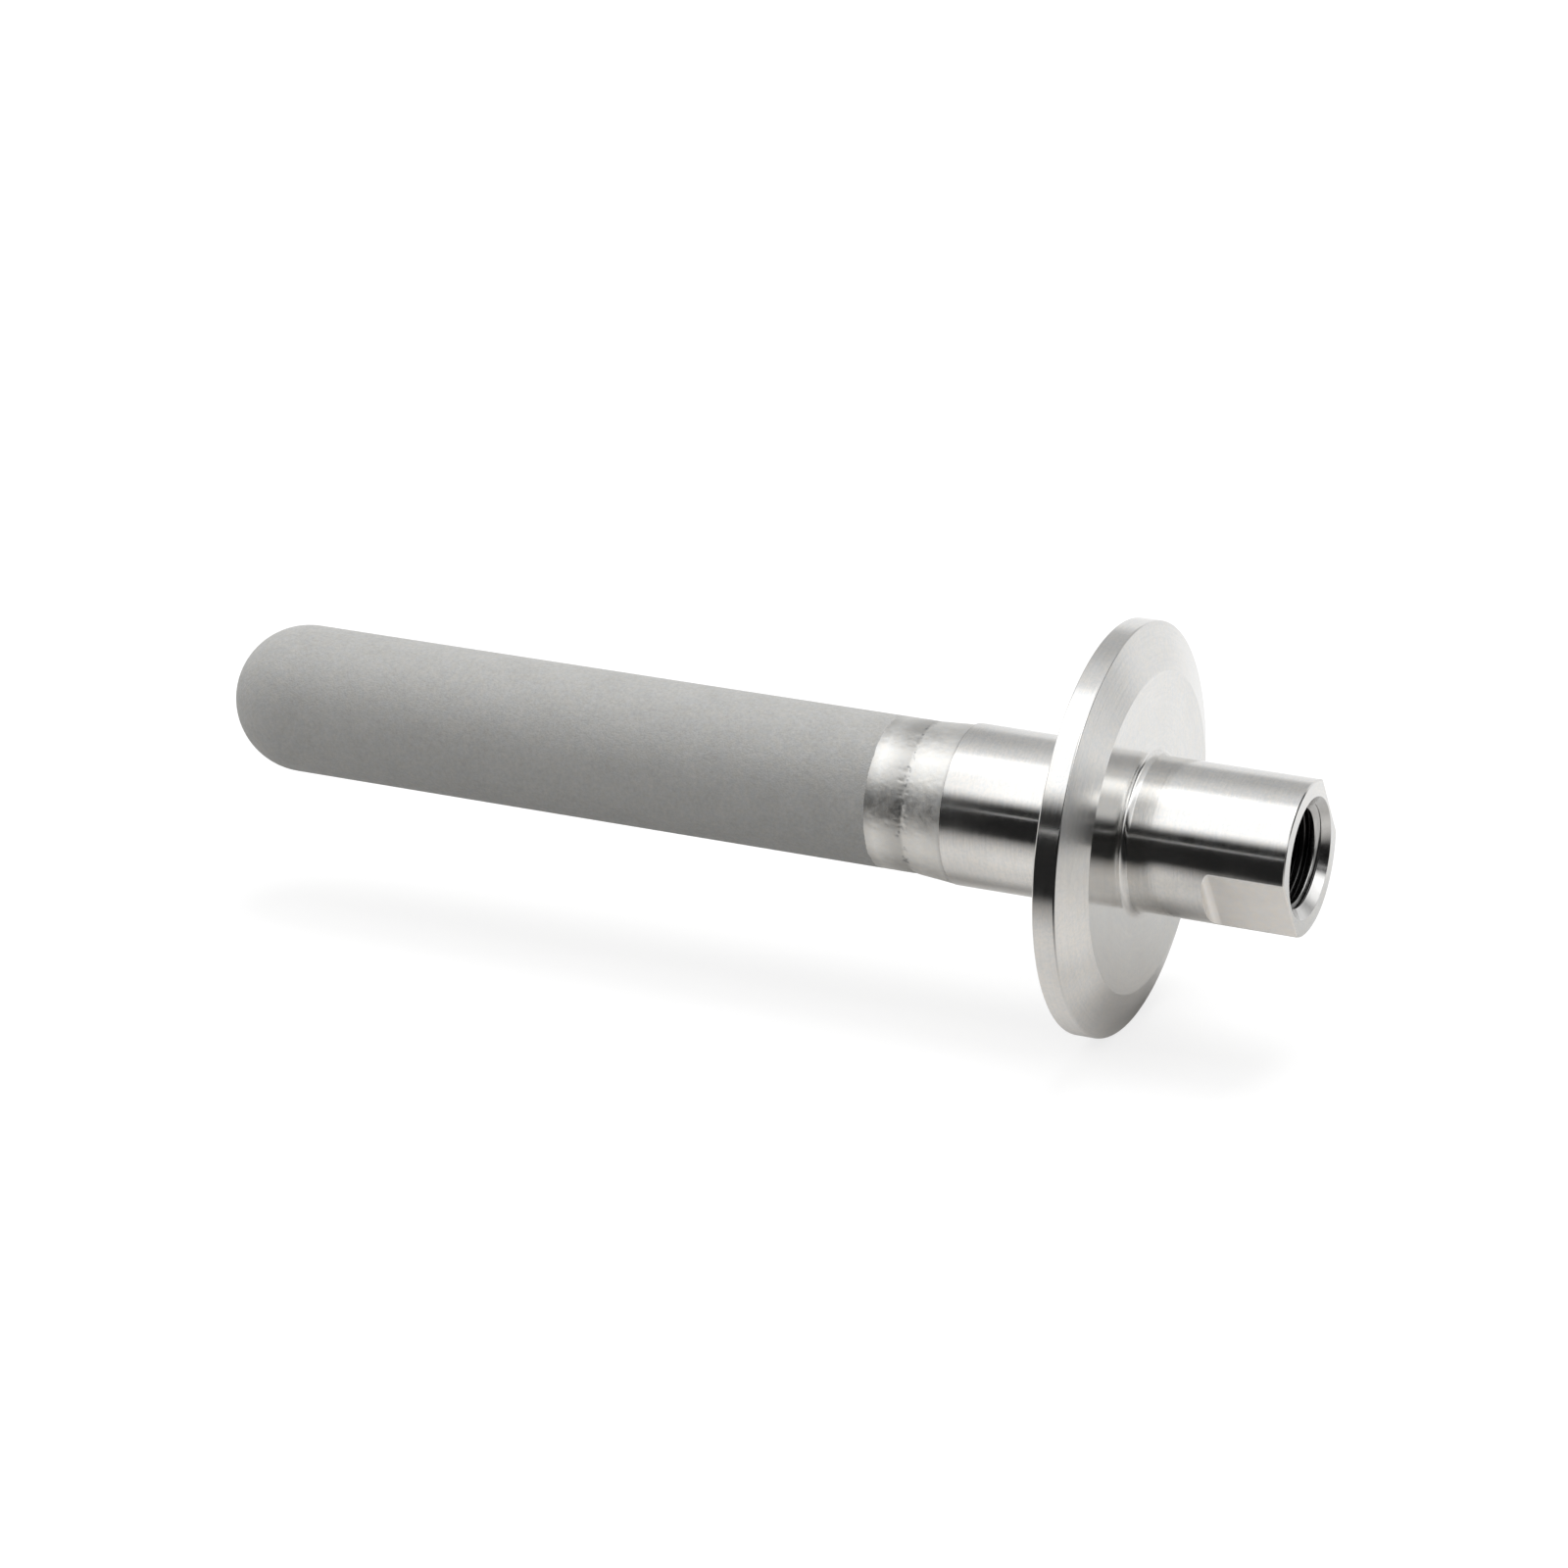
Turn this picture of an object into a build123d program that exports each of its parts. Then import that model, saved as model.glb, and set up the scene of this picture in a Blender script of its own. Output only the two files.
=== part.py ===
"""Sintered steel gas filter on a sanitary clamp flange, with a female threaded port.

A closed porous tube is welded to a turned fitting. The fitting's nose centres the tube, its flange is
held by a clamp on a vessel's port, and its stub takes a gas line and a wrench.
X runs along the axis: 0 is the flange's sealing face, +X the port, -X the tube's closed tip. Z is up.
"""
import os
from math import cos, radians, sin, tan

from build123d import *

# Sizes in millimetres, angles in degrees

# Clamp flange, of the common one and a half inch size
rim_radius = 25.25
rim_width = 2.8
clamp_slope = 20.0
hub_radius = 19.6
rim_edge = 0.2

# Gasket groove in the sealing face
groove_radius = 21.8
groove_width = 3.2
groove_floor = 1.2
groove_depth = 1.6

# Pipe between the flange and the weld
pipe_radius = 9.9
pipe_length = 18.2

# Stub with the port and the wrench flats
stub_radius = 9.45
stub_length = 20.35
stub_root_fillet = 1.0
stub_edge = 0.2
across_flats = 16.0
flat_length = 10.25
flat_corner = 1.0
flat_turn = 33.5

# Port, bored to the thread's root, with a countersink for the first turn
port_radius = 6.58
port_depth = 13.5
port_mouth_radius = 7.4
port_mouth_slope = 45.0
drill_slope = 59.0
passage_radius = 4.0

# Closed porous tube
tube_radius = 9.35
tube_wall = 2.5
tube_length = 90.2

# Weld between the tube and the pipe: a flush band, then a bead that climbs to the pipe and sags a little
weld_flush_length = 4.8
weld_bead_length = 5.1
weld_bead_radius = 9.75
weld_bead_sag = 0.12

# Nose of the fitting inside the tube
nose_overlap = 6.0
nose_clearance = 0.05
nose_chamfer = 0.6

# Places worked out from the sizes
hub_face = rim_width + (rim_radius - hub_radius) * tan(radians(clamp_slope))
port_face = hub_face + stub_length
flat_start = port_face - flat_length
pipe_end = -pipe_length
bead_start = pipe_end - weld_bead_length
tube_end = bead_start - weld_flush_length
tube_tip = tube_end - tube_length
tube_bore_radius = tube_radius - tube_wall
dome_centre = tube_tip + tube_radius
nose_radius = tube_bore_radius - nose_clearance
nose_end = tube_end - nose_overlap
port_mouth_depth = (port_mouth_radius - port_radius) / tan(radians(port_mouth_slope))
port_floor = port_face - port_depth
drill_tip = port_floor - (port_radius - passage_radius) / tan(radians(drill_slope))


def ring_edges(part, place, radius):
    """Full circles of a part at one place along the axis and of one radius."""
    circles = part.edges().filter_by(GeomType.CIRCLE).filter_by_position(Axis.X, place, place)
    return circles.filter_by(lambda edge: abs(edge.radius - radius) < 0.001)


# Turned fitting: nose, pipe, clamp flange and stub in one piece
with BuildPart() as clamp_fitting:
    with BuildSketch(Plane.XZ):
        with BuildLine():
            Polyline(
                (nose_end, 0),
                (nose_end, nose_radius),
                (pipe_end, nose_radius),
                (pipe_end, pipe_radius),
                (0, pipe_radius),
                (0, rim_radius),
                (rim_width, rim_radius),
                (hub_face, hub_radius),
                (hub_face, stub_radius),
                (port_face, stub_radius),
                (port_face, 0),
                close=True,
            )
        make_face()
    revolve(axis=Axis.X)

    fillet(ring_edges(clamp_fitting, hub_face, stub_radius), stub_root_fillet)
    chamfer(ring_edges(clamp_fitting, 0, rim_radius), rim_edge)
    chamfer(ring_edges(clamp_fitting, rim_width, rim_radius), rim_edge)
    chamfer(ring_edges(clamp_fitting, nose_end, nose_radius), nose_chamfer)

    # Gasket groove, with sloping sides
    with BuildSketch(Plane.XZ):
        with BuildLine():
            Polyline(
                (0, groove_radius - groove_width / 2),
                (groove_depth, groove_radius - groove_floor / 2),
                (groove_depth, groove_radius + groove_floor / 2),
                (0, groove_radius + groove_width / 2),
                close=True,
            )
        make_face()
    revolve(axis=Axis.X, mode=Mode.SUBTRACT)

    # Two parallel wrench flats, milled with a cutter that leaves a rounded inner corner
    flat_normal = (0, -cos(radians(flat_turn)), -sin(radians(flat_turn)))
    flat_along = (0, -flat_normal[2], flat_normal[1])
    with BuildSketch(Plane(origin=(0, 0, 0), x_dir=(1, 0, 0), z_dir=flat_along)):
        with Locations((flat_start, across_flats / 2)):
            Rectangle(2 * flat_length, rim_radius, align=(Align.MIN, Align.MIN))
        fillet(vertices().group_by(Axis.X)[0].sort_by(Axis.Y)[0], flat_corner)
        mirror(about=Plane.XZ)
    extrude(amount=stub_radius, both=True, mode=Mode.SUBTRACT)

    end_face = clamp_fitting.faces().sort_by(Axis.X)[-1]
    chamfer(end_face.outer_wire().edges(), stub_edge)

    # Port with its countersink and drill point, and the passage through the nose
    with BuildSketch(Plane.XZ):
        with BuildLine():
            Polyline(
                (nose_end, 0),
                (nose_end, passage_radius),
                (drill_tip, passage_radius),
                (port_floor, port_radius),
                (port_face - port_mouth_depth, port_radius),
                (port_face, port_mouth_radius),
                (port_face, 0),
                close=True,
            )
        make_face()
    revolve(axis=Axis.X, mode=Mode.SUBTRACT)

clamp_fitting.part.label = "clamp_fitting"

# Porous tube, pressed and sintered in one piece with its round closed end
with BuildPart() as porous_element:
    with BuildSketch(Plane.XZ):
        with BuildLine():
            Line((tube_end, tube_radius), (dome_centre, tube_radius))
            CenterArc((dome_centre, 0), tube_radius, 90, 90)
            Line((tube_tip, 0), (tube_tip + tube_wall, 0))
            CenterArc((dome_centre, 0), tube_bore_radius, 180, -90)
            Line((dome_centre, tube_bore_radius), (tube_end, tube_bore_radius))
            Line((tube_end, tube_bore_radius), (tube_end, tube_radius))
        make_face()
    revolve(axis=Axis.X)

porous_element.part.label = "porous_element"

# Weld between the tube's end and the pipe's shoulder, around the nose
with BuildPart() as weld_ring:
    with BuildSketch(Plane.YZ.offset(tube_end)):
        Circle(tube_radius)
    extrude(amount=weld_flush_length)
    with BuildSketch(Plane.YZ.offset(bead_start)):
        Circle(tube_radius)
    with BuildSketch(Plane.YZ.offset(pipe_end)):
        with Locations((0, -weld_bead_sag)):
            Circle(weld_bead_radius)
    loft()
    with BuildSketch(Plane.YZ.offset(tube_end)):
        Circle(nose_radius)
    extrude(amount=weld_flush_length + weld_bead_length, mode=Mode.SUBTRACT)

weld_ring.part.label = "weld_ring"

os.makedirs("parts", exist_ok=True)
for sub_part in (clamp_fitting, porous_element, weld_ring):
    export_step(sub_part.part, f"parts/{sub_part.part.label}.step")
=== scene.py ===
"""Looks of the sintered steel filter on its clamp flange: fine meshes, materials, floor, light and camera."""
from collections import namedtuple
from math import acos, atan, atan2, cos, degrees, pi, radians, sin, tan

import bpy
from mathutils import Matrix, Vector, noise


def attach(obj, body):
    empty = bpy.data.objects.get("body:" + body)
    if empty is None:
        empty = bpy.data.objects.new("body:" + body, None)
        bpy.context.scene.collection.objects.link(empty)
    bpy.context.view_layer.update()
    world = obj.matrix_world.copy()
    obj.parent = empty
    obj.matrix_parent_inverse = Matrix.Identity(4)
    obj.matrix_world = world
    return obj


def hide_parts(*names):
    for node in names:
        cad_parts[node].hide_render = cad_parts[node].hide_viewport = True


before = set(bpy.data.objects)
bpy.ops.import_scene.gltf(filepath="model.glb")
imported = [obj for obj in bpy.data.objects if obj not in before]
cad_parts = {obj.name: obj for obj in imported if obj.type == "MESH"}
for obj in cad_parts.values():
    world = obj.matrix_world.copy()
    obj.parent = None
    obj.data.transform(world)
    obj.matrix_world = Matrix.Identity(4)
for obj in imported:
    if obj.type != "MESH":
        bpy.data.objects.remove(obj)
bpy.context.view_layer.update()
MM = 0.001

# Sizes of the solids, in millimetres and degrees
RIM, RIM_WIDTH, SLOPE, HUB, RIM_EDGE = 25.25, 2.8, 20.0, 19.6, 0.2
GROOVE, GROOVE_WIDTH, GROOVE_FLOOR, GROOVE_DEPTH = 21.8, 3.2, 1.2, 1.6
PIPE, PIPE_LENGTH = 9.9, 18.2
STUB, STUB_LENGTH, STUB_ROOT, STUB_EDGE = 9.45, 20.35, 1.0, 0.2
FLAT, FLAT_LENGTH, FLAT_CORNER, FLAT_TURN = 8.0, 10.25, 1.0, 33.5
PORT, PORT_DEPTH, MOUTH, DRILL_SLOPE, PASSAGE = 6.58, 13.5, 7.4, 59.0, 4.0
TUBE, TUBE_WALL, TUBE_LENGTH = 9.35, 2.5, 90.2
WELD_FLUSH, WELD_BEAD, BEAD, SAG = 4.8, 5.1, 9.75, 0.12
NOSE_OVERLAP, NOSE_GAP, NOSE_CHAMFER = 6.0, 0.05, 0.6

# Sizes that only the looks have: the thread, and small roundings and edges
PITCH, THREAD_CREST, THREAD_ROOT, THREAD_END = 1.337, 5.88, 6.568, 12.80
CREST_SHARE, FLANK_SHARE = 0.18, 0.432
RIM_ROUNDING, EDGE_DEPTH, FLAT_EDGE, MOUTH_EDGE = 0.3, 0.12, 0.12, 0.06

# Relief of the weld: broad and fine swells, how far its first edge and its seam wander, the notch along the
# seam with its widths before and after, and the pits, which are deeper within reach of the seam
SWELL, FINE_SWELL, EDGE_WANDER, SEAM_WANDER = 0.018, 0.010, 0.12, 0.28
NOTCH_DEPTH, NOTCH_BEFORE, NOTCH_AFTER = 0.072, 0.5, 0.19
PIT_DEPTH, PIT_LEVEL, PIT_REACH, PIT_ELSEWHERE = 0.10, 0.28, 1.1, 0.12

# Places along the axis
HUB_FACE = RIM_WIDTH + (RIM - HUB) * tan(radians(SLOPE))
PORT_FACE = HUB_FACE + STUB_LENGTH
FLAT_START = PORT_FACE - FLAT_LENGTH
PIPE_END = -PIPE_LENGTH
BEAD_START = PIPE_END - WELD_BEAD
TUBE_END = BEAD_START - WELD_FLUSH
TUBE_TIP = TUBE_END - TUBE_LENGTH
DOME_CENTRE = TUBE_TIP + TUBE
NOSE_END = TUBE_END - NOSE_OVERLAP
PORT_FLOOR = PORT_FACE - PORT_DEPTH
DRILL_TIP = PORT_FLOOR - (PORT - PASSAGE) / tan(radians(DRILL_SLOPE))
THREAD_START = PORT_FACE - (MOUTH - PORT)

# Radii and angles worked out from the sizes
BORE = TUBE - TUBE_WALL
NOSE = BORE - NOSE_GAP
FLAT_ANGLE = atan2(-sin(radians(FLAT_TURN)), -cos(radians(FLAT_TURN)))

# Fineness of the meshes: columns round the axis, longest steps in millimetres, and the degrees of each step
# round a corner, by its radius
FLAT_COLUMNS, ARC_COLUMNS, TUBE_COLUMNS, WELD_COLUMNS, TURN_COLUMNS = 18, 78, 192, 380, 120
FITTING_STEP, PORT_STEP, TUBE_STEP, WELD_STEP = 1.5, 4.0, 2.0, 0.14
LARGE_ROUNDING, LARGE_TURN, SMALL_TURN = 0.5, 12, 25
CORNER_STEPS, FLAT_STEPS, BEVEL_STEPS = 8, 6, 5

# Slots of the fitting's materials
TURNED, MILLED, BORED = 0, 1, 2

# Normals in a section, as (along the axis, away from it)
ALONG, OUTWARD = Vector((1, 0)), Vector((0, 1))


class Shell:
    """A mesh made face by face, with its own normal at each corner, in millimetres."""

    def __init__(self):
        self.index, self.points, self.faces, self.normals, self.slots = {}, [], [], [], []

    def point(self, p):
        """Number of the point at a place, which faces that meet there share."""
        key = (round(p[0], 5), round(p[1], 5), round(p[2], 5))
        if key not in self.index:
            self.index[key] = len(self.points)
            self.points.append([c * MM for c in p])
        return self.index[key]

    def face(self, corners, slot=TURNED):
        """corners are (point, normal) pairs, anticlockwise seen from outside."""
        kept = []
        for p, n in corners:
            i = self.point(p)
            if i not in [k[0] for k in kept]:
                kept.append((i, n))
        if len(kept) > 2:
            self.faces.append([k[0] for k in kept])
            self.normals.extend(k[1] for k in kept)
            self.slots.append(slot)

    def build(self, name, materials):
        mesh = bpy.data.meshes.new(name)
        mesh.from_pydata(self.points, [], self.faces)
        mesh.polygons.foreach_set("material_index", self.slots)
        mesh.polygons.foreach_set("use_smooth", [True] * len(self.faces))
        for m in materials:
            mesh.materials.append(m)
        mesh.normals_split_custom_set([Vector(n).normalized() for n in self.normals])
        mesh.update()
        return placed(name, mesh)


def placed(name, data):
    """A new object of the scene, from a mesh, a lamp or a camera."""
    obj = bpy.data.objects.new(name, data)
    bpy.context.scene.collection.objects.link(obj)
    return obj


def left(v):
    return Vector((-v.y, v.x))


def rotated(v, angle):
    return Vector((v.x * cos(angle) - v.y * sin(angle), v.x * sin(angle) + v.y * cos(angle)))


def outline(corners):
    """Steps along straight runs, with each corner rounded by its radius.

    A corner is (x, r, radius), and a step (start, end, start normal, end normal). Normals point to the left
    of the way the outline runs."""
    steps, last = [], Vector(corners[0][:2])
    for before, here, after in zip(corners, corners[1:], corners[2:]):
        a, b, c = Vector(before[:2]), Vector(here[:2]), Vector(after[:2])
        radius = here[2]
        u, v = (b - a).normalized(), (c - b).normalized()
        turn = u.angle_signed(v)
        cut = radius * abs(tan(turn / 2))
        start, end = b - u * cut, b + v * cut
        if (start - last).length > 1e-6:
            steps.append((last, start, left(u), left(u)))
        if radius > 0:
            each = LARGE_TURN if radius > LARGE_ROUNDING else SMALL_TURN
            count = max(3, round(abs(degrees(turn)) / each))
            side = 1 if u.x * v.y - u.y * v.x > 0 else -1
            centre = start + left(u) * radius * side
            ways = [rotated(left(u), abs(turn) * side * k / count) for k in range(count + 1)]
            for m, n in zip(ways, ways[1:]):
                steps.append((centre - m * radius * side, centre - n * radius * side, m, n))
        last = end
    b = Vector(corners[-1][:2])
    u = (b - last).normalized()
    steps.append((last, b, left(u), left(u)))
    return steps


def split(steps, longest):
    """The same steps with none much longer than a length."""
    out = []
    for p, q, m, n in steps:
        count = max(1, round((q - p).length / longest))
        for i in range(count):
            a, b = i / count, (i + 1) / count
            out.append((p.lerp(q, a), p.lerp(q, b), m.lerp(n, a), m.lerp(n, b)))
    return out


# Turned fitting

# A section across the axis, round or with two flats. flat is the distance of the flats from the axis, or
# None, and half is half the angle that a flat spans. Normals are (along, outward) pairs
Ring = namedtuple("Ring", "x radius flat half arc_normal flat_normal", defaults=[None])


def columns_at(half):
    """Angles round a section whose flats span twice an angle, and what each gap between them is."""
    angles, kinds = [], []
    near, far = half - FLAT_EDGE / STUB, half + FLAT_EDGE / STUB
    for side in (0, pi):
        middle = FLAT_ANGLE + side
        for i in range(FLAT_COLUMNS):
            angles.append(middle + atan(tan(near) * (2 * i / FLAT_COLUMNS - 1)))
            kinds.append(("flat", middle))
        angles.append(middle + near)
        kinds.append(("edge", middle))
        for i in range(ARC_COLUMNS):
            angles.append(middle + far + (pi - 2 * far) * i / ARC_COLUMNS)
            kinds.append(("arc", middle))
        angles.append(middle + pi - far)
        kinds.append(("edge", middle + pi))
    return angles + [angles[0] + 2 * pi], kinds


def ring_corner(ring, kind, middle, angle):
    """Point and normal of a ring at an angle."""
    off = (angle - middle + pi) % (2 * pi) - pi
    off = (off + pi / 2) % pi - pi / 2
    if ring.flat is not None and (kind == "flat" or (kind == "edge" and abs(off) < ring.half)):
        radius, normal = ring.flat / cos(off), ring.flat_normal
        way = round((angle - FLAT_ANGLE - off) / pi) * pi + FLAT_ANGLE
    else:
        radius, normal, way = ring.radius, ring.arc_normal, angle
        if kind == "flat" and ring.flat is None and ring.flat_normal is not None:
            normal = ring.flat_normal
    point = (ring.x, radius * cos(angle), radius * sin(angle))
    return point, (normal[0], normal[1] * cos(way), normal[1] * sin(way))


def flatted(shell, pairs, slot=TURNED):
    """Skin between pairs of rings."""
    for first, second in pairs:
        first_angles, kinds = columns_at(first.half)
        second_angles, _ = columns_at(second.half)
        for i, (kind, middle) in enumerate(kinds):
            a, b = (ring_corner(first, kind, middle, angle) for angle in first_angles[i:i + 2])
            d, c = (ring_corner(second, kind, middle, angle) for angle in second_angles[i:i + 2])
            milled = kind == "flat" and first.flat and second.flat
            shell.face([a, b, c, d], MILLED if milled else slot)


def round_rings(steps, half):
    """Pairs of rings along steps that are round all the way."""
    return [(Ring(p.x, p.y, None, half, m), Ring(q.x, q.y, None, half, n)) for p, q, m, n in steps]


def fitting():
    """Nose, pipe, flange, stub with its flats, and port, in one skin."""
    shell = Shell()
    plain_end = HUB_FACE + STUB_LENGTH / 2 - 3
    profile = outline([
        (NOSE_END, PASSAGE, 0), (NOSE_END, NOSE - NOSE_CHAMFER, 0.1), (NOSE_END + NOSE_CHAMFER, NOSE, 0.1),
        (PIPE_END, NOSE, 0), (PIPE_END, PIPE, 0.1), (0, PIPE, 0.35),
        (0, GROOVE - GROOVE_WIDTH / 2, 0.15), (GROOVE_DEPTH, GROOVE - GROOVE_FLOOR / 2, 0.25),
        (GROOVE_DEPTH, GROOVE + GROOVE_FLOOR / 2, 0.25), (0, GROOVE + GROOVE_WIDTH / 2, 0.15),
        (0, RIM, RIM_EDGE), (RIM_WIDTH, RIM, RIM_ROUNDING), (HUB_FACE, HUB, 0.04),
        (HUB_FACE, STUB, STUB_ROOT), (plain_end, STUB, 0),
    ])
    half = acos((FLAT + FLAT_CORNER) / STUB)
    pairs = round_rings(split(profile, FITTING_STEP), half)
    last = Ring(profile[-1][1].x, STUB, None, half, OUTWARD)
    pairs.append((last, last._replace(x=FLAT_START)))

    # Shoulder of the flats, and its rounded inner corner
    shoulder = Ring(FLAT_START, STUB, None, half, OUTWARD, ALONG)
    pairs.append((shoulder, shoulder._replace(flat=FLAT + FLAT_CORNER)))
    corner = []
    for i in range(CORNER_STEPS + 1):
        a = radians(90 * i / CORNER_STEPS)
        depth = FLAT + FLAT_CORNER * (1 - sin(a))
        x = FLAT_START + FLAT_CORNER * (1 - cos(a))
        corner.append(Ring(x, STUB, depth, acos(depth / STUB), OUTWARD, Vector((cos(a), sin(a)))))
    pairs += zip(corner, corner[1:])

    # Flats
    full = acos(FLAT / STUB)
    start, end = FLAT_START + FLAT_CORNER, PORT_FACE - EDGE_DEPTH
    flats = []
    for i in range(FLAT_STEPS + 1):
        flats.append(Ring(start + (end - start) * i / FLAT_STEPS, STUB, FLAT, full, OUTWARD, OUTWARD))
    pairs += zip(flats, flats[1:])

    # Chamfered edge and the ring of the end face
    slant = Vector((STUB_EDGE, EDGE_DEPTH)).normalized()
    inner = acos((FLAT - STUB_EDGE) / (STUB - STUB_EDGE))
    edge = Ring(end, STUB, FLAT, full, slant, slant)
    lip = Ring(PORT_FACE, STUB - STUB_EDGE, FLAT - STUB_EDGE, inner, slant, slant)
    pairs.append((edge, lip))
    face = lip._replace(arc_normal=ALONG, flat_normal=ALONG)
    pairs.append((face, Ring(PORT_FACE, MOUTH + MOUTH_EDGE, None, inner, ALONG, ALONG)))
    flatted(shell, pairs)

    # Port, drill point and passage
    port = outline([(PORT_FACE, MOUTH + MOUTH_EDGE, 0), (PORT_FACE, MOUTH, 0.05), (THREAD_START, PORT, 0),
                    (PORT_FLOOR, PORT, 0.3), (DRILL_TIP, PASSAGE, 0.1), (NOSE_END, PASSAGE, 0)])
    flatted(shell, round_rings(split(port, PORT_STEP), inner), BORED)
    thread(shell)
    return shell


def ridge_height(share):
    """Height of the thread's ridge at a share of the pitch from its middle, from 0 to 1.

    It has a flat crest with a slight crown, straight flanks and a narrow root with a slight foot."""
    crown, foot = 0.02, 0.04
    share = abs(share)
    if share < CREST_SHARE:
        return 1 - crown * (share / CREST_SHARE) ** 2
    if share < FLANK_SHARE:
        return 1 - crown - (1 - crown - foot) * (share - CREST_SHARE) / (FLANK_SHARE - CREST_SHARE)
    return foot * max(0.0, (0.5 - share) / (0.5 - FLANK_SHARE)) ** 2


def ridge_slope(share):
    """Slope of the ridge towards -X, in millimetres for each millimetre."""
    step = 0.01
    rise = ridge_height(share - step) - ridge_height(share + step)
    return rise / (2 * step * PITCH) * (THREAD_ROOT - THREAD_CREST)


def thread(shell):
    """Ridge of the female thread, a right hand helix with flat crests, which the countersink bevels."""
    past_start, past_cone, clearance = 0.8, 0.1, 0.006
    fade_turns, sunk = 0.4, 0.02
    count = int((THREAD_START + past_start - THREAD_END) / PITCH * TURN_COLUMNS)
    shares = (0.05, 0.15, CREST_SHARE, 0.25, 0.31, 0.37, FLANK_SHARE, 0.47, 0.5)
    profile = [-share for share in reversed(shares)] + list(shares)
    bevel_normal = Vector((0.707, -0.707))

    def ridge(i, share):
        """Radius of the ridge, which rises out of the bore over its first part of a turn."""
        fade = min(1.0, i / (TURN_COLUMNS * fade_turns))
        full = THREAD_ROOT - ridge_height(share) * (THREAD_ROOT - THREAD_CREST)
        return (PORT + sunk) * (1 - fade) + fade * full

    def x_at(i, share):
        """A right hand thread moves towards +X as it turns from +Y to +Z."""
        return min(THREAD_END + PITCH * (i / TURN_COLUMNS + share), THREAD_START + past_cone)

    def cone(i, share):
        """Radius of the countersink."""
        return PORT + x_at(i, share) - THREAD_START + clearance

    def crossing(i, side):
        """Share of the pitch, between the crest and a side, where the countersink leaves the ridge."""
        kept, cut = side, CREST_SHARE
        if cone(i, side) > ridge(i, side):
            cut = side
        for _ in range(24):
            middle = (kept + cut) / 2
            if cone(i, middle) > ridge(i, middle):
                cut = middle
            else:
                kept = middle
        return cut

    def row(i):
        """Points and normals of the ridge at a step, in three runs: before, on and after the bevel."""
        low = high = CREST_SHARE
        if cone(i, CREST_SHARE) > ridge(i, CREST_SHARE):
            low, high = crossing(i, -0.5), crossing(i, 0.5)
        before = [(min(share, low), False) for share in profile]
        bevel = [(low + (high - low) * k / BEVEL_STEPS, True) for k in range(BEVEL_STEPS + 1)]
        after = [(max(share, high), False) for share in profile]
        a = 2 * pi * i / TURN_COLUMNS
        points = []
        for share, bevelled in before + bevel + after:
            x, r = x_at(i, share), max(ridge(i, share), cone(i, share))
            n = bevel_normal if bevelled else Vector((ridge_slope(share), -1.0)).normalized()
            points.append(((x, r * cos(a), r * sin(a)), (n.x, n.y * cos(a), n.y * sin(a))))
        return points

    rows = [row(i) for i in range(count + 1)]
    for near, far in zip(rows, rows[1:]):
        for k in range(len(near) - 1):
            if near[k][0][0] < THREAD_START + past_cone - 0.001:
                shell.face([near[k], near[k + 1], far[k + 1], far[k]], BORED)


# Weld
def waves(p, scale, octaves=3):
    return noise.fractal(Vector(p) * scale, 0.6, 2.0, octaves, noise_basis="PERLIN_ORIGINAL")


def weld_radius(x, cy, cz):
    """Radius of the weld at a place and a direction round the axis: gentle swells, a seam and pits."""
    middle = 9.4
    here = (x, middle * cy, middle * cz)
    swell = SWELL * waves(here, 0.45) + FINE_SWELL * waves(here, 1.6)

    seam = BEAD_START + SEAM_WANDER * waves((0.0, cy, cz), 4.0, 4)
    from_seam = (x - seam) / (NOTCH_BEFORE if x < seam else NOTCH_AFTER)
    notch = NOTCH_DEPTH * (0.9 + 0.7 * waves((3.0, cy, cz), 9.0)) / (1 + from_seam * from_seam)
    near_seam = 1 / (1 + ((x - seam) / PIT_REACH) ** 2)
    pit = max(0.0, waves((x + 40.0, middle * cy, middle * cz), 1.5, 2) - PIT_LEVEL)
    pits = PIT_DEPTH * pit * (PIT_ELSEWHERE + (1 - PIT_ELSEWHERE) * near_seam)

    # The relief fades at both ends, and the bead climbs to the pipe
    fade = min(1.0, (x - TUBE_END) / 0.3, (PIPE_END - x) / 0.4)
    climb = max(0.0, (x - BEAD_START) / WELD_BEAD)
    return TUBE + (BEAD - TUBE) * climb + (swell - max(0.0, notch) - pits) * fade


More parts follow.
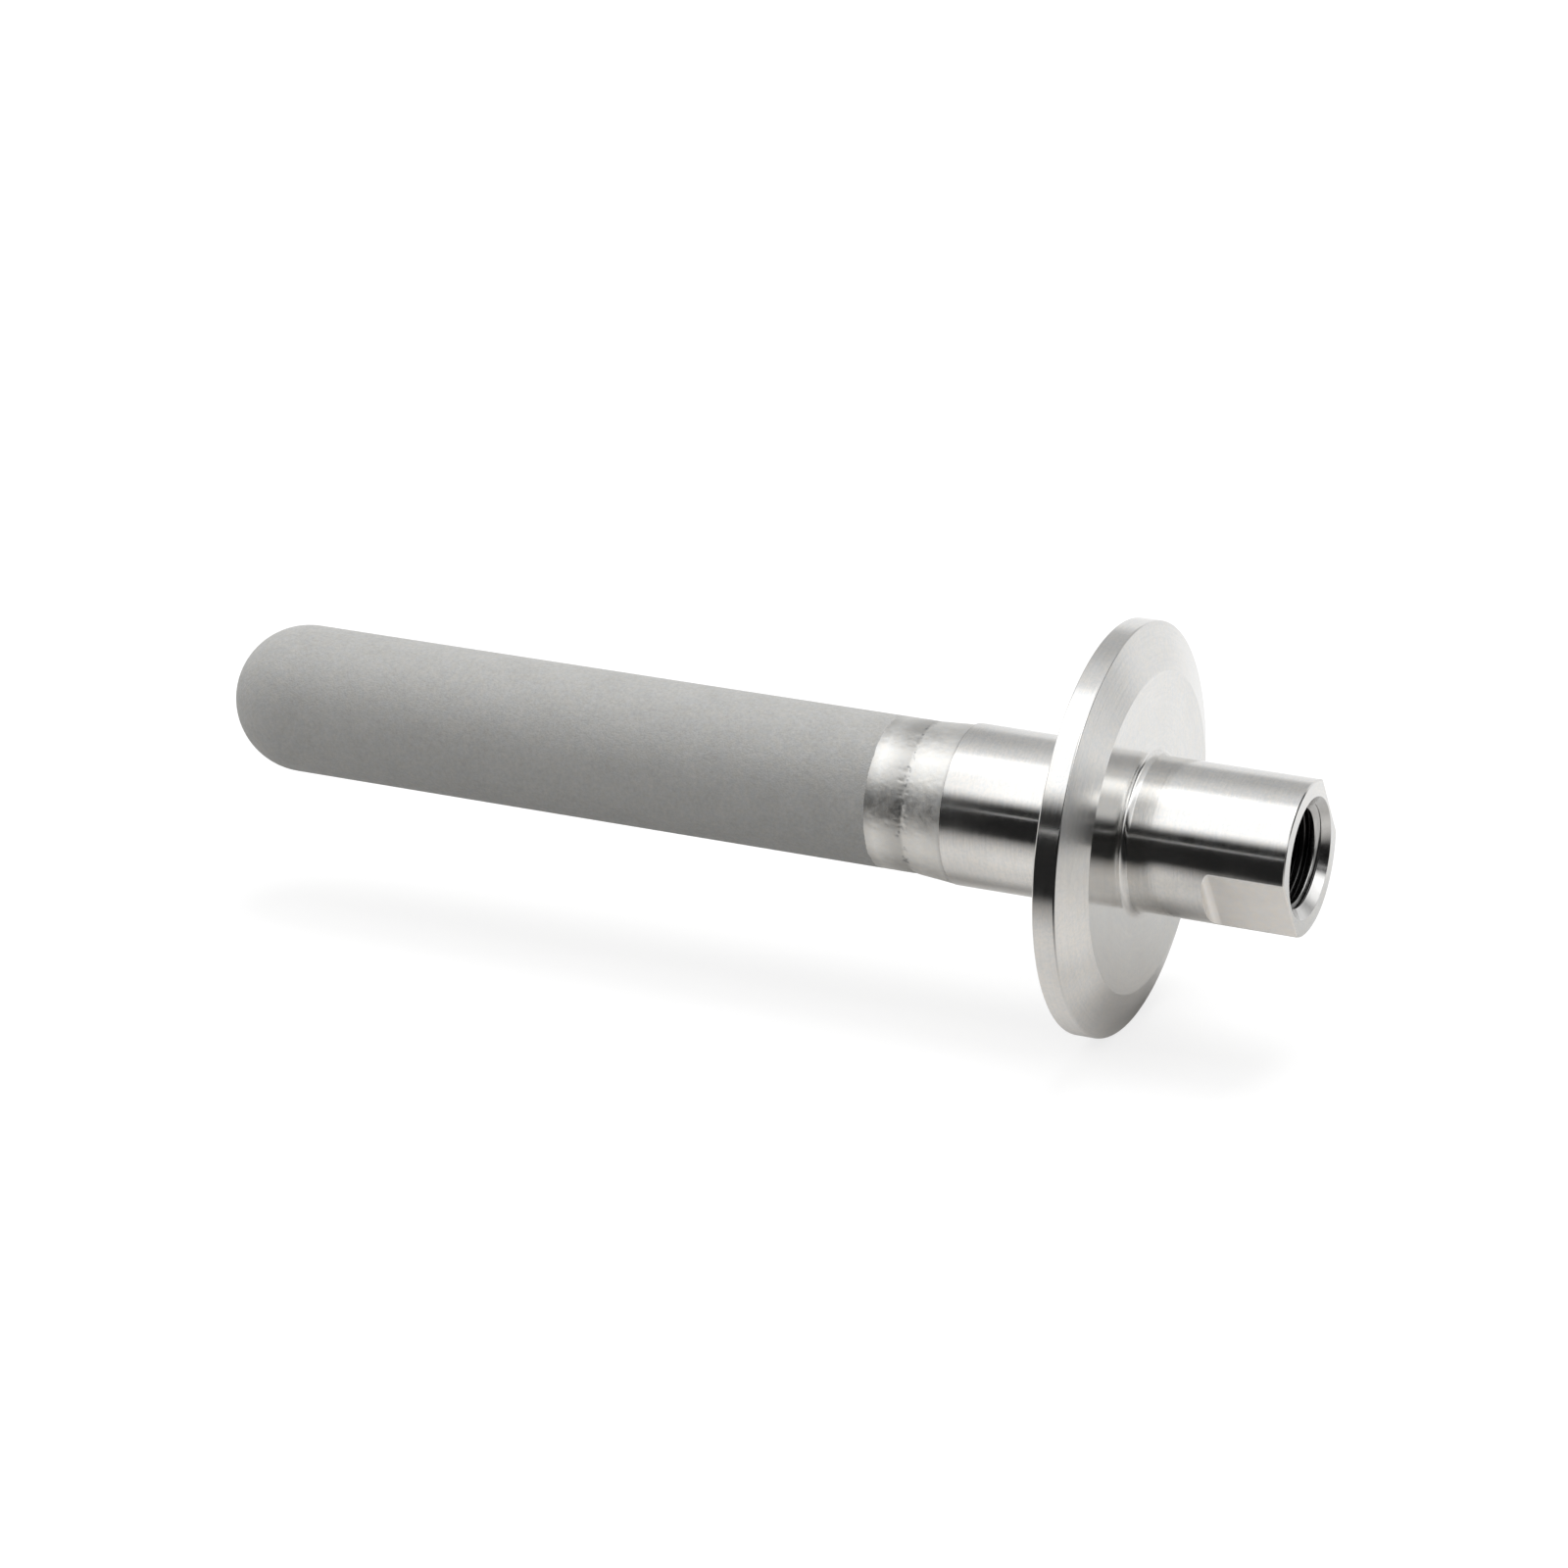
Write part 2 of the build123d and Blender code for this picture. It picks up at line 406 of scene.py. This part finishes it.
def weld():
    """Weld ring: a flush band with an uneven edge, a seam, and a bead that climbs to the pipe and sags."""
    directions = [(cos(a), sin(a)) for a in (2 * pi * j / WELD_COLUMNS for j in range(WELD_COLUMNS))]
    proud, first = TUBE + 0.008, []
    for cy, cz in directions:
        x = TUBE_END + EDGE_WANDER * waves((7.0, cy, cz), 5.0, 3) - EDGE_WANDER / 2
        first.append((x, proud * cy, proud * cz))
    rows = [[(TUBE_END, NOSE * cy, NOSE * cz) for cy, cz in directions],
            [(x + 0.02, y * 0.99, z * 0.99) for x, y, z in first], first]
    x = TUBE_END + WELD_STEP
    while x < PIPE_END - 1e-6:
        rows.append(weld_row(x, directions))
        x += WELD_STEP
    rows.append(weld_row(PIPE_END, directions))
    rows.append([(PIPE_END, NOSE * cy, NOSE * cz) for cy, cz in directions])

    points = [[c * MM for c in p] for row in rows for p in row]
    faces = []
    for i in range(len(rows)):
        k = (i + 1) % len(rows)
        for j in range(WELD_COLUMNS):
            m = (j + 1) % WELD_COLUMNS
            faces.append([row * WELD_COLUMNS + column for row, column in ((i, j), (i, m), (k, m), (k, j))])
    mesh = bpy.data.meshes.new("weld_bead")
    mesh.from_pydata(points, [], faces)
    mesh.polygons.foreach_set("use_smooth", [True] * len(faces))
    mesh.update()
    mesh.set_sharp_from_angle(angle=radians(50))
    mesh.materials.append(weld_steel())
    return placed("weld_bead", mesh)


def weld_row(x, directions):
    """Points round the weld at a place along the axis. The bead sags as it climbs."""
    drop = SAG * max(0.0, (x - BEAD_START) / WELD_BEAD)
    row = []
    for cy, cz in directions:
        r = weld_radius(x, cy, cz)
        row.append((x, r * cy, r * cz - drop))
    return row


# Porous tube
def dome(radius, angles, side):
    """Steps round the closed end. side is 1 for its outer skin and -1 for its inner one."""
    points, normals = [], []
    for a in (radians(angle) for angle in angles):
        points.append(Vector((DOME_CENTRE - radius * cos(a), radius * sin(a))))
        normals.append(Vector((-cos(a), sin(a))) * side)
    return list(zip(points, points[1:], normals, normals[1:]))


def tube():
    """Tube with its round closed end, outside, end ring and inside, turned about the X axis."""
    shell = Shell()
    steps = dome(TUBE, range(0, 93, 3), 1)
    steps += split(outline([(DOME_CENTRE, TUBE, 0), (TUBE_END, TUBE, 0), (TUBE_END, BORE, 0),
                            (DOME_CENTRE, BORE, 0)]), TUBE_STEP)
    steps += dome(BORE, range(90, -6, -6), -1)
    angles = [2 * pi * i / TUBE_COLUMNS for i in range(TUBE_COLUMNS)] + [0.0]
    for p, q, m, n in steps:
        for s, t in zip(angles, angles[1:]):
            corners = [(p, m, s), (p, m, t), (q, n, t), (q, n, s)]
            shell.face([on_circle(v, w, a) for v, w, a in corners])
    return shell


def on_circle(v, w, a):
    return (v.x, v.y * cos(a), v.y * sin(a)), (w.x, w.y * cos(a), w.y * sin(a))


# Nodes
class Field:
    """A number, colour or place that varies over a surface or the sky: the output of a node.

    Sums and products of numbers make maths nodes."""

    def __init__(self, tree, socket):
        self.tree, self.socket = tree, socket

    def __add__(self, other):
        return maths("ADD", self, other)

    def __sub__(self, other):
        return maths("SUBTRACT", self, other)

    def __rsub__(self, other):
        return maths("SUBTRACT", other, self)

    def __mul__(self, other):
        return maths("MULTIPLY", self, other)

    def __truediv__(self, other):
        return maths("DIVIDE", self, other)

    def __abs__(self):
        return maths("ABSOLUTE", self)


def feed(socket, given):
    """Links a socket to a field, or sets it to a number or colour."""
    if isinstance(given, Field):
        given.tree.links.new(given.socket, socket)
    else:
        socket.default_value = given


def node_of(tree, kind, named=(), **settings):
    """A new node with some of its sockets fed. named are (socket name or number, value) pairs."""
    node = tree.nodes.new(kind)
    for key, value in settings.items():
        setattr(node, key, value)
    for key, value in named:
        feed(node.inputs[key], value)
    return node


def maths(operation, *values):
    tree = next(value.tree for value in values if isinstance(value, Field))
    return Field(tree, node_of(tree, "ShaderNodeMath", enumerate(values), operation=operation).outputs[0])


def spread(value, low, high, first, last, smooth=True):
    """Goes from first to last as a value goes from low to high."""
    named = zip(("Value", "From Min", "From Max", "To Min", "To Max"), (value, low, high, first, last))
    kind = "SMOOTHSTEP" if smooth else "LINEAR"
    node = node_of(value.tree, "ShaderNodeMapRange", named, interpolation_type=kind)
    return Field(value.tree, node.outputs[0])


def band(value, middle, inner, outer, full=1.0):
    """Full within a distance of the middle, and nothing beyond a larger one."""
    return spread(abs(value - middle), inner, outer, full, 0.0)


def blended(share, a, b):
    """a where the share is 0 and b where it is 1, for numbers."""
    node = node_of(share.tree, "ShaderNodeMix", ((0, share), (2, a), (3, b)), data_type="FLOAT")
    return Field(share.tree, node.outputs[0])


def blended_colour(share, a, b):
    """a where the share is 0 and b where it is 1, for colours."""
    node = node_of(share.tree, "ShaderNodeMix", ((0, share), (6, (*a, 1)), (7, (*b, 1))), data_type="RGBA")
    return Field(share.tree, node.outputs[2])


def multiplied(a, b):
    """Product of two colours."""
    named = ((0, 1.0), (6, a), (7, b))
    node = node_of(a.tree, "ShaderNodeMix", named, data_type="RGBA", blend_type="MULTIPLY")
    return Field(a.tree, node.outputs[2])


def joined(a, b, c):
    """Three numbers as one place or colour."""
    return Field(a.tree, node_of(a.tree, "ShaderNodeCombineXYZ", enumerate((a, b, c))).outputs[0])


def parted(place):
    """The three numbers of a place."""
    node = node_of(place.tree, "ShaderNodeSeparateXYZ", ((0, place),))
    return [Field(place.tree, socket) for socket in node.outputs]


def coordinates(tree, kind="Object"):
    return Field(tree, tree.nodes.new("ShaderNodeTexCoord").outputs[kind])


def degrees_of(value):
    return value * (180 / pi)


def polar(place):
    """Place along the axis, distance from it, and unit direction round it."""
    x, y, z = parted(place)
    r = maths("MAXIMUM", maths("SQRT", y * y + z * z), 1e-5)
    return x, r, y / r, z / r


def clouds(place, scale, detail, roughness):
    """Noise in space, mostly from 0.3 to 0.7."""
    named = (("Vector", place), ("Scale", scale), ("Detail", detail), ("Roughness", roughness))
    return Field(place.tree, node_of(place.tree, "ShaderNodeTexNoise", named).outputs["Fac"])


def stripes(along, detail, roughness):
    """Noise along one direction."""
    named = (("W", along), ("Scale", 1.0), ("Detail", detail), ("Roughness", roughness))
    node = node_of(along.tree, "ShaderNodeTexNoise", named, noise_dimensions="1D")
    return Field(along.tree, node.outputs["Fac"])


def ramp(value, stops):
    """Colour from (value, colour) stops."""
    node = node_of(value.tree, "ShaderNodeValToRGB", ((0, value),))
    points = node.color_ramp.elements
    points[0].position, points[0].color = stops[0][0], (*stops[0][1], 1)
    points[1].position, points[1].color = stops[-1][0], (*stops[-1][1], 1)
    for position, color in stops[1:-1]:
        points.new(position).color = (*color, 1)
    return Field(value.tree, node.outputs[0])


def grey(v):
    return v, v, v


def tinted(colour, place, scale, warm, cool):
    """A colour that drifts between a warm and a cool tint in small patches."""
    return multiplied(colour, ramp(clouds(place, scale, 2.0, 0.6), [(0.36, warm), (0.64, cool)]))


def bump(height, distance, strength=1.0):
    """Normals of fine relief, with its height in metres."""
    named = (("Height", height), ("Distance", distance), ("Strength", strength))
    return Field(height.tree, node_of(height.tree, "ShaderNodeBump", named).outputs[0])


# Materials
def material(name):
    """A new material, its node tree and the sockets of its shader."""
    made = bpy.data.materials.new(name)
    made.use_nodes = True
    return made, made.node_tree, made.node_tree.nodes["Principled BSDF"].inputs


def worked_round(tree, inputs, strength):
    """Stretches the highlights across marks that run round the X axis."""
    inputs["Anisotropic"].default_value = strength
    inputs["Anisotropic Rotation"].default_value = 0.25
    tangent = node_of(tree, "ShaderNodeTangent", direction_type="RADIAL", axis="X")
    feed(inputs["Tangent"], Field(tree, tangent.outputs[0]))


def turned_steel():
    """Bright steel with the fine rings and short arcs that a lathe leaves, duller on the pipe by the weld."""
    made, tree, inputs = material("turned_steel")
    place = coordinates(tree)
    x, r, cy, cz = polar(place)
    along = x + r * 1.37
    rings = stripes(along * 3400.0, 2.0, 0.6)
    arcs = clouds(joined(along * 4000.0, cy * 2.6, cz * 2.6), 1.0, 3.0, 0.65)
    cloud = clouds(place, 130.0, 5.0, 0.65)
    dressed = spread(x, PIPE_END * MM, -7.5 * MM, 1.0, 0.0)
    feed(inputs["Normal"], bump(rings * 0.6 + arcs, 0.0000038, dressed * 3.0 + 1.0))
    rough = spread(cloud, 0.3, 0.7, 0.12, 0.18) + (arcs - 0.5) * 0.08
    feed(inputs["Roughness"], maths("MINIMUM", rough + dressed * 0.1, 0.265))

    tone = ramp(cloud * 0.5 + arcs * 0.5, [(0.3, (0.715, 0.71, 0.70)), (0.7, (0.82, 0.815, 0.805))])
    tone = tinted(tone, place, 2300.0, (1.02, 1.0, 0.98), (0.94, 0.95, 0.958))
    tone = tinted(tone, place, 620.0, (1.0, 0.995, 0.98), (0.98, 0.99, 1.0))
    weld_line = spread(x, (PIPE_END + 0.06) * MM, (PIPE_END + 0.26) * MM, 0.72, 1.0)
    worn = spread(dressed, 0.0, 1.0, 1.0, 0.91, smooth=False) * weld_line
    feed(inputs["Base Color"], multiplied(tone, joined(worn, worn, worn)))
    inputs["Metallic"].default_value = 1.0
    worked_round(tree, inputs, 0.6)
    return made


def bored_steel():
    """The threaded port and the passage: unpolished, with painted shade that darkens the grooves and further
    in.
    """
    made, tree, inputs = material("bored_steel")
    place = coordinates(tree)
    x, r, _, _ = polar(place)
    cloud = clouds(place, 900.0, 3.0, 0.6)
    feed(inputs["Normal"], bump(stripes(x * 9000.0, 2.0, 0.6), 0.000001))
    further_in = spread(x, (THREAD_START - 1.8) * MM, THREAD_START * MM, 0.3, 0.14)
    feed(inputs["Roughness"], spread(cloud, 0.3, 0.7, -0.03, 0.03) + further_in)

    tone = ramp(cloud, [(0.3, (0.71, 0.705, 0.695)), (0.7, (0.79, 0.785, 0.775))])
    # Painted shade: the base colour darkens in the thread's grooves and further into the port
    depth = r - x + (THREAD_START - PORT) * MM
    painted_groove_shade = spread(depth, 0.18 * MM, 0.42 * MM, 1.0, 0.35)
    painted_depth_shade = spread(x, (THREAD_START - 1.15) * MM, (THREAD_START - 0.7) * MM, 0.4, 0.82) * painted_groove_shade
    feed(inputs["Base Color"], multiplied(tone, joined(painted_depth_shade, painted_depth_shade, painted_depth_shade)))
    inputs["Metallic"].default_value = 1.0
    return made


def milled_steel():
    """The wrench flats: fine straight marks along the axis and a duller finish."""
    made, tree, inputs = material("milled_steel")
    place = coordinates(tree)
    stretch = (("Vector", place), ("Rotation", (-FLAT_ANGLE, 0.0, 0.0)), ("Scale", (180.0, 2400.0, 2400.0)))
    stretched = Field(tree, node_of(tree, "ShaderNodeMapping", stretch).outputs[0])
    cloud = clouds(place, 260.0, 3.0, 0.6)
    feed(inputs["Normal"], bump(clouds(stretched, 1.0, 1.0, 0.5), 0.000003))
    feed(inputs["Roughness"], spread(cloud, 0.3, 0.7, 0.29, 0.37))
    tone = ramp(cloud, [(0.3, (0.82, 0.803, 0.783)), (0.7, (0.90, 0.883, 0.863))])
    feed(inputs["Base Color"], tinted(tone, place, 1100.0, (1.0, 0.985, 0.955), (0.965, 0.975, 0.98)))
    inputs["Metallic"].default_value = 1.0
    return made


def sintered_steel():
    """Pressed and sintered powder: matte, finely grained, faintly mottled."""
    made, tree, inputs = material("sintered_steel")
    place = coordinates(tree)
    cells = (("Vector", place), ("Scale", 4200.0), ("Randomness", 1.0))
    grains = Field(tree, node_of(tree, "ShaderNodeTexVoronoi", cells).outputs["Distance"])
    fine = clouds(place, 3400.0, 3.0, 0.65)
    mottle = clouds(place, 2100.0, 3.0, 0.7)
    broad = clouds(place, 260.0, 3.0, 0.5)
    feed(inputs["Normal"], bump(grains * -0.8 + fine, 0.00006, 0.65))
    feed(inputs["Roughness"], spread(fine, 0.3, 0.7, 0.68, 0.82))
    tone = ramp(mottle * 0.55 + fine * 0.3 + broad * 0.15,
                [(0.36, (0.358, 0.354, 0.345)), (0.5, (0.408, 0.408, 0.402)), (0.64, (0.463, 0.459, 0.45))])
    feed(inputs["Base Color"], tinted(tone, place, 1300.0, (1.0, 0.985, 0.955), (0.962, 0.972, 0.985)))
    inputs["Metallic"].default_value = 0.2
    return made


def weld_steel():
    """Fused and dressed steel: bright and uneven, with painted shading across its bands, fine pits, and dark
    specks along the seam.
    """
    made, tree, inputs = material("weld_steel")
    place = coordinates(tree)
    x, _, cy, cz = polar(place)
    pits = spread(clouds(place, 2600.0, 3.0, 0.7), 0.35, 0.5, 0.0, 1.0)
    lumps = clouds(place, 900.0, 3.0, 0.6)
    arcs = clouds(joined(x * 3600.0, cy * 6.0, cz * 6.0), 1.0, 3.0, 0.6)
    feed(inputs["Normal"], bump(pits * 0.5 + lumps * 0.7 + arcs * 0.4, 0.000008))
    feed(inputs["Roughness"], spread(lumps, 0.3, 0.7, 0.40, 0.50))

    tone = ramp(lumps, [(0.3, (0.69, 0.686, 0.674)), (0.7, (0.79, 0.786, 0.774))])
    # Painted shading along the weld: each band's bulge is painted lighter towards one edge and darker towards
    # the other, with painted shade into the seam. The last stop darkens the joint with the pipe
    along = spread(x, TUBE_END * MM, PIPE_END * MM, 0.0, 1.0, smooth=False)
    painted_band_shading = ramp(along, [(0.0, grey(0.86)), (0.12, grey(1.0)), (0.36, grey(0.74)), (0.465, grey(0.70)),
                         (0.51, grey(0.93)), (0.7, grey(1.0)), (0.96, grey(0.93)), (1.0, grey(0.8))])
    tone = tinted(multiplied(tone, painted_band_shading), place, 1500.0, (1.0, 0.985, 0.955), (0.965, 0.975, 0.98))
    specks = spread(clouds(place, 1500.0, 1.0, 0.5), 0.56, 0.70, 0.0, 0.42)
    clean = 1.0 - specks * band(x, BEAD_START * MM, 0.2 * MM, 0.6 * MM)
    feed(inputs["Base Color"], multiplied(tone, joined(clean, clean, clean)))
    inputs["Metallic"].default_value = 1.0
    worked_round(tree, inputs, 0.3)
    return made


# Floor
def light_path(tree):
    """What kind of ray meets the surface, by name."""
    return {socket.name: Field(tree, socket) for socket in tree.nodes.new("ShaderNodeLightPath").outputs}


def white_rays(path):
    """1 for the rays that see a plain white studio: the camera's, and those through glass."""
    return maths("MAXIMUM", path["Is Camera Ray"], path["Is Transmission Ray"])


def shader_of(tree, kind, named):
    return Field(tree, node_of(tree, kind, named).outputs[0])


def mirrored_floor(x, y):
    """How far the floor shows metal a painted dark, and how far a painted white glow, in reflections only.
    The rest stays pale grey.
    """
    # Painted dark, seen only in reflections: in front of the object, but for a faint strip that the rim
    # mirrors, and beyond its right end
    dark = spread(y - x * 0.42, -0.085, -0.004, 1.0, 0.0) * spread(x - y * 0.75, -0.26, -0.16, 0.0, 1.0)
    strip = band(x - y * 0.346, 0.0076, 0.003, 0.008, 0.25)
    strip = strip * spread(y, -0.095, -0.07, 0.0, 1.0) * spread(y, -0.05, -0.025, 1.0, 0.0)
    dark = maths("MAXIMUM", dark - strip, 0.0)
    bearing = degrees_of(maths("ARCTAN2", y, x))
    right_end = spread(x, 0.085, 0.135, 0.0, 0.7) * spread(bearing, 22.0, 35.0, 1.0, 0.0)

    # Painted white glow, seen only in reflections: beside the object, less so right under the flange, where
    # this leaves a painted shade, and again well behind it
    from_middle = maths("SQRT", x * x + y * y)
    beside = spread(y - x * 0.15, -0.008, 0.006, 0.68, 0.0) * spread(from_middle, 0.004, 0.018, 0.3, 1.0)
    shaded = band(x, 0.005, 0.004, 0.010, 0.16) * spread(y, -0.04, -0.03, 0.0, 1.0)
    behind = spread(y, 0.03, 0.085, 0.0, 0.75) - spread(y, 0.15, 0.45, 0.0, 0.17)
    return maths("MAXIMUM", dark, right_end), beside * (1.0 - shaded) + behind


def floor_material():
    """Pale, and white to the camera where no shadow falls. Metal sees it as a table with a painted dark front
    and painted white glowing patches, which only glossy rays meet.
    """
    made, tree, inputs = material("floor")
    path = light_path(tree)
    glossy = path["Is Glossy Ray"]
    x, y, _ = parted(coordinates(tree))
    dark, white = mirrored_floor(x, y)
    # A warm tint that only glossy rays meet: a painted reflection colour
    warm = spread(y, 0.0, 0.045, 1.0, 0.0) * glossy

    feed(inputs["Base Color"], blended_colour(warm, (0.47, 0.47, 0.467), (0.478, 0.466, 0.452)))
    inputs["Roughness"].default_value = 0.9
    inputs["Specular IOR Level"].default_value = 0.1
    plain = Field(tree, tree.nodes["Principled BSDF"].outputs[0])
    clean = blended_colour(warm, grey(1.0), (1.0, 0.98, 0.957))
    pale = shader_of(tree, "ShaderNodeBsdfDiffuse", (("Color", clean),))
    glow = shader_of(tree, "ShaderNodeEmission", (("Color", clean), ("Strength", 1.0)))
    bright = shader_of(tree, "ShaderNodeMixShader", ((0, 0.76), (1, pale), (2, glow)))
    black = shader_of(tree, "ShaderNodeBsdfDiffuse", (("Color", (*grey(0.012), 1)),))

    seen_white = maths("MAXIMUM", white_rays(path), white * glossy)
    lit = shader_of(tree, "ShaderNodeMixShader", ((0, seen_white), (1, plain), (2, bright)))
    surface = shader_of(tree, "ShaderNodeMixShader", ((0, dark * glossy), (1, lit), (2, black)))
    feed(tree.nodes["Material Output"].inputs["Surface"], surface)
    return made


def lay_floor():
    half, level = 6.0, -RIM * MM
    mesh = bpy.data.meshes.new("floor")
    corners = [(-half, -half, level), (half, -half, level), (half, half, level), (-half, half, level)]
    mesh.from_pydata(corners, [], [(0, 1, 2, 3)])
    mesh.materials.append(floor_material())
    placed("floor", mesh)


# Light
def studio_sky(tree):
    """What metal mirrors, by heading from +X, rise above the floor, and angle round the X axis."""
    x, y, z = parted(coordinates(tree, "Generated"))
    rise = degrees_of(maths("ARCSINE", z))
    heading = degrees_of(maths("ARCTAN2", y, x))
    round_x = degrees_of(maths("ARCTAN2", z, y * -1.0))

    # In front: a soft box over a dark room, with a thin lit line in it and a dim window at the right end
    box = spread(rise, 22.0, 38.0, 0.012, 1.0) * spread(heading, -100.0, -70.0, 1.4, 0.8)
    box = box + spread(round_x, 60.0, 88.0, 0.0, 0.9)
    line = band(rise, 13.6, 0.3, 0.9) * 0.8
    window = band(heading, 0.0, 6.0, 15.0, 0.45) * band(rise, 0.0, 8.0, 16.0)
    front = box + line + window

    # Behind: a pale wall, darker low down
    wall = spread(rise, 12.0, 30.0, 1.0, 0.0) * spread(heading, 45.0, 65.0, 0.2, 0.38)
    back = wall + spread(abs(round_x), 96.0, 135.0, 0.93, 0.55)

    # The front spans other headings low down than high up
    low = spread(heading, -155.0, -135.0, 0.0, 1.0) * spread(heading, 8.0, 28.0, 1.0, 0.0)
    high = spread(round_x, 88.0, 104.0, 1.0, 0.0)
    share = blended(spread(rise, 20.0, 30.0, 0.0, 1.0), low, high)

    # A dark gap beyond the right end, which the rounded edges mirror, and a lit panel over it
    gap = band(heading, 31.0, 14.0, 24.0, 0.9) * band(rise, 12.0, 7.0, 12.0)
    panel = band(heading, 12.0, 14.0, 40.0, 0.8) * band(rise, 28.0, 7.0, 11.0)
    return blended(share, back, front) * (1.0 - gap) + panel


def light_studio():
    world = bpy.data.worlds.new("studio")
    bpy.context.scene.world = world
    world.use_nodes = True
    tree = world.node_tree
    sky = tree.nodes["Background"].inputs
    feed(sky["Strength"], blended(white_rays(light_path(tree)), studio_sky(tree), 1.0))
    sky["Color"].default_value = (1, 1, 1, 1)

    # A soft lamp overhead for the matte surfaces. The metal mirrors the soft box in its place
    lamp = bpy.data.lights.new("overhead", "SUN")
    lamp.energy, lamp.angle = 1.6, radians(30)
    overhead = placed("overhead", lamp)
    overhead.rotation_euler = Vector((0.0, 0.33, 0.94)).to_track_quat("Z", "Y").to_euler()
    overhead.visible_glossy = False


# Camera
def set_camera():
    """Camera fitted to the photograph, in degrees and metres, with its focal length in pixels."""
    azimuth, elevation, distance = radians(24.3309), radians(20.8404), 0.677994
    target = Vector((-0.0428188, 0.0, -0.0012795))
    focal_pixels, frame_pixels, sensor = 5642.98, 1600, 36.0
    behind = Vector((sin(azimuth) * cos(elevation), -cos(azimuth) * cos(elevation), sin(elevation)))
    right = Vector((cos(azimuth), sin(azimuth), 0))
    up = behind.cross(right)
    lens = bpy.data.cameras.new("camera")
    lens.sensor_width, lens.lens = sensor, focal_pixels * sensor / frame_pixels
    lens.clip_start, lens.clip_end = 0.01, 50.0
    camera = placed("camera", lens)
    turn = Matrix((right, up, behind)).transposed().to_4x4()
    camera.matrix_world = Matrix.Translation(target + behind * distance) @ turn
    bpy.context.scene.camera = camera


body = fitting().build("turned_fitting", [turned_steel(), milled_steel(), bored_steel()])
bead = weld()
element = tube().build("porous_tube", [sintered_steel()])
for piece, node, slot in ((body, "clamp_fitting", "turned_steel"), (bead, "weld_ring", "weld_steel"),
                          (element, "porous_element", "sintered_steel")):
    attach(piece, "root")
    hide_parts(node)

lay_floor()
light_studio()
set_camera()
bpy.context.scene.view_settings.view_transform = "Standard"
